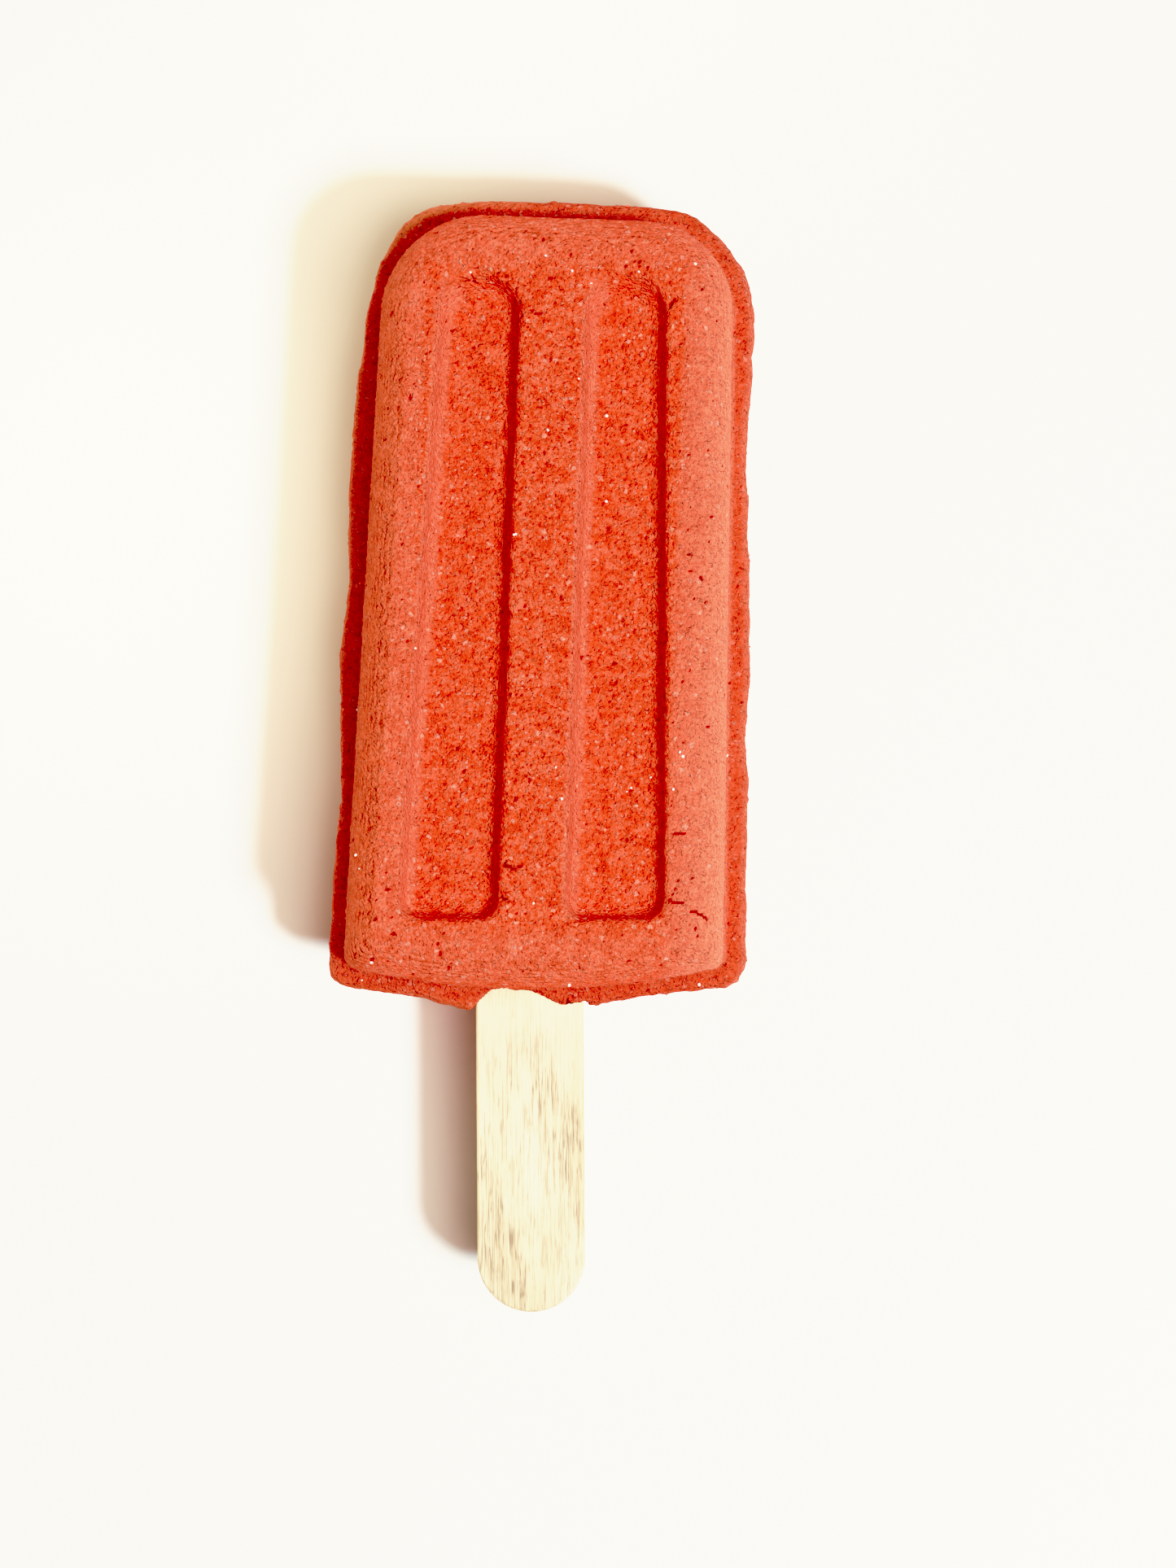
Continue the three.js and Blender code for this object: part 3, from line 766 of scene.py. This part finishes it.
def make_stick(wood):
    half_turn = math.pi / STICK_END_POINTS  # keeps every point off the middle line
    reach = STICK_LENGTH / 2 - STICK_WIDTH / 2
    bm = bmesh.new()
    bmesh.ops.create_circle(bm, cap_ends=True, segments=STICK_END_POINTS, radius=STICK_WIDTH / 2,
                            matrix=Matrix.Rotation(half_turn, 4, "Z"))
    for side in (1, -1):
        end = [v for v in bm.verts if v.co.y * side > 0]
        bmesh.ops.translate(bm, verts=end, vec=(0, side * reach, 0))
    raised = bmesh.ops.extrude_face_region(bm, geom=bm.faces[:])["geom"]
    bmesh.ops.translate(bm, verts=[g for g in raised if isinstance(g, bmesh.types.BMVert)],
                        vec=(0, 0, STICK_THICKNESS))
    bmesh.ops.recalc_face_normals(bm, faces=bm.faces)
    rims = [e for e in bm.edges if abs(e.verts[0].co.z - e.verts[1].co.z) < 1e-6]
    bmesh.ops.bevel(bm, geom=rims, offset=STICK_EDGE, segments=3, profile=0.5, affect="EDGES",
                    material=-1)
    placed = (Matrix.Translation(STICK_END) @ Matrix.Rotation(STICK_TURN, 4, "Z")
              @ Matrix.Translation((0, STICK_LENGTH / 2, -STICK_THICKNESS / 2)))
    bm.transform(Matrix.Scale(TO_METRES, 4) @ placed)
    mesh = to_mesh(bm, "stick_wood")
    shade(mesh, False)
    mesh_piece("stick_wood", mesh, wood, "stick")


# ---------------------------------------------------------------- stage

def make_floor():
    bm = bmesh.new()
    bmesh.ops.create_grid(bm, x_segments=1, y_segments=1, size=FLOOR_SIZE)
    mesh = to_mesh(bm, "floor")
    floor = bpy.data.objects.new("floor", mesh)
    bpy.context.collection.objects.link(floor)
    nodes = Nodes("white_floor")
    nodes.set(Base_Color=FLOOR_COLOUR, Roughness=0.8, Specular_IOR_Level=0.2)
    mesh.materials.append(nodes.material)
    return floor


def make_camera():
    data = bpy.data.cameras.new("camera")
    data.lens = CAMERA_LENS
    data.sensor_width = 36.0
    data.clip_start = 0.01
    data.clip_end = 10.0
    camera = bpy.data.objects.new("camera", data)
    camera.location = CAMERA_PLACE
    camera.rotation_euler = (0, 0, CAMERA_ROLL)
    bpy.context.collection.objects.link(camera)
    bpy.context.scene.camera = camera


def make_light(name, place, size, watts, colour):
    data = bpy.data.lights.new(name, "AREA")
    data.shape = "ELLIPSE"
    data.size, data.size_y = size
    data.energy = watts
    data.color = colour
    light = bpy.data.objects.new(name, data)
    light.location = place
    light.visible_camera = False
    bpy.context.collection.objects.link(light)
    return light


def make_far_light(name, place, breadth, watts, colour):
    size = [part * LIGHT_HEIGHT for part in breadth]
    return make_light(name, Vector(place) * LIGHT_HEIGHT, size, watts, colour)


def make_lights(floor):
    only_floor = bpy.data.collections.new("only_floor")
    only_floor.objects.link(floor)
    all_but_floor = bpy.data.collections.new("all_but_floor")
    all_but_floor.objects.link(floor)
    all_but_floor.collection_objects[0].light_linking.link_state = "EXCLUDE"
    for name, settings in LIGHTS.items():
        make_far_light(name, *settings).light_linking.receiver_collection = all_but_floor
    for name, settings in FLOOR_LIGHTS.items():
        make_far_light(name, *settings).light_linking.receiver_collection = only_floor
    for name, (place, size, watts, colour) in FLOOR_CARDS.items():
        place, size = Vector(place) * TO_METRES, [part * TO_METRES for part in size]
        make_light(name, place, size, watts, colour).light_linking.receiver_collection = only_floor

    scene = bpy.context.scene
    scene.world = bpy.data.worlds.new("room")
    scene.world.use_nodes = True
    room = scene.world.node_tree
    # The room looks pale behind the floor, but it lights the piece only dimly.
    walls = room.nodes.new("ShaderNodeMix")
    walls.data_type = "RGBA"
    walls.inputs[6].default_value = (*ROOM, 1)
    walls.inputs[7].default_value = (*WALLS, 1)
    seen = room.nodes.new("ShaderNodeLightPath").outputs["Is Camera Ray"]
    room.links.new(seen, walls.inputs["Factor"])
    room.links.new(walls.outputs[2], room.nodes["Background"].inputs["Color"])
    scene.view_settings.view_transform = "Standard"
    scene.view_settings.use_curve_mapping = True
    curves = scene.view_settings.curve_mapping
    curves.use_clip = False
    for curve, points in zip(curves.curves, (RED_CURVE, GREEN_CURVE, BLUE_CURVE)):
        curve.points[-1].location = CURVE_END
        for point in points:
            curve.points.new(*point)
    curves.update()


powder, wood = powder_material(), wood_material()
for node, material in (("block", powder), ("stick", wood)):
    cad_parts[node].data.materials.clear()
    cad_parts[node].data.materials.append(material)

skin = make_block(powder)
make_grains(skin)
skin.free()
make_stick(wood)
floor = make_floor()
make_camera()
make_lights(floor)
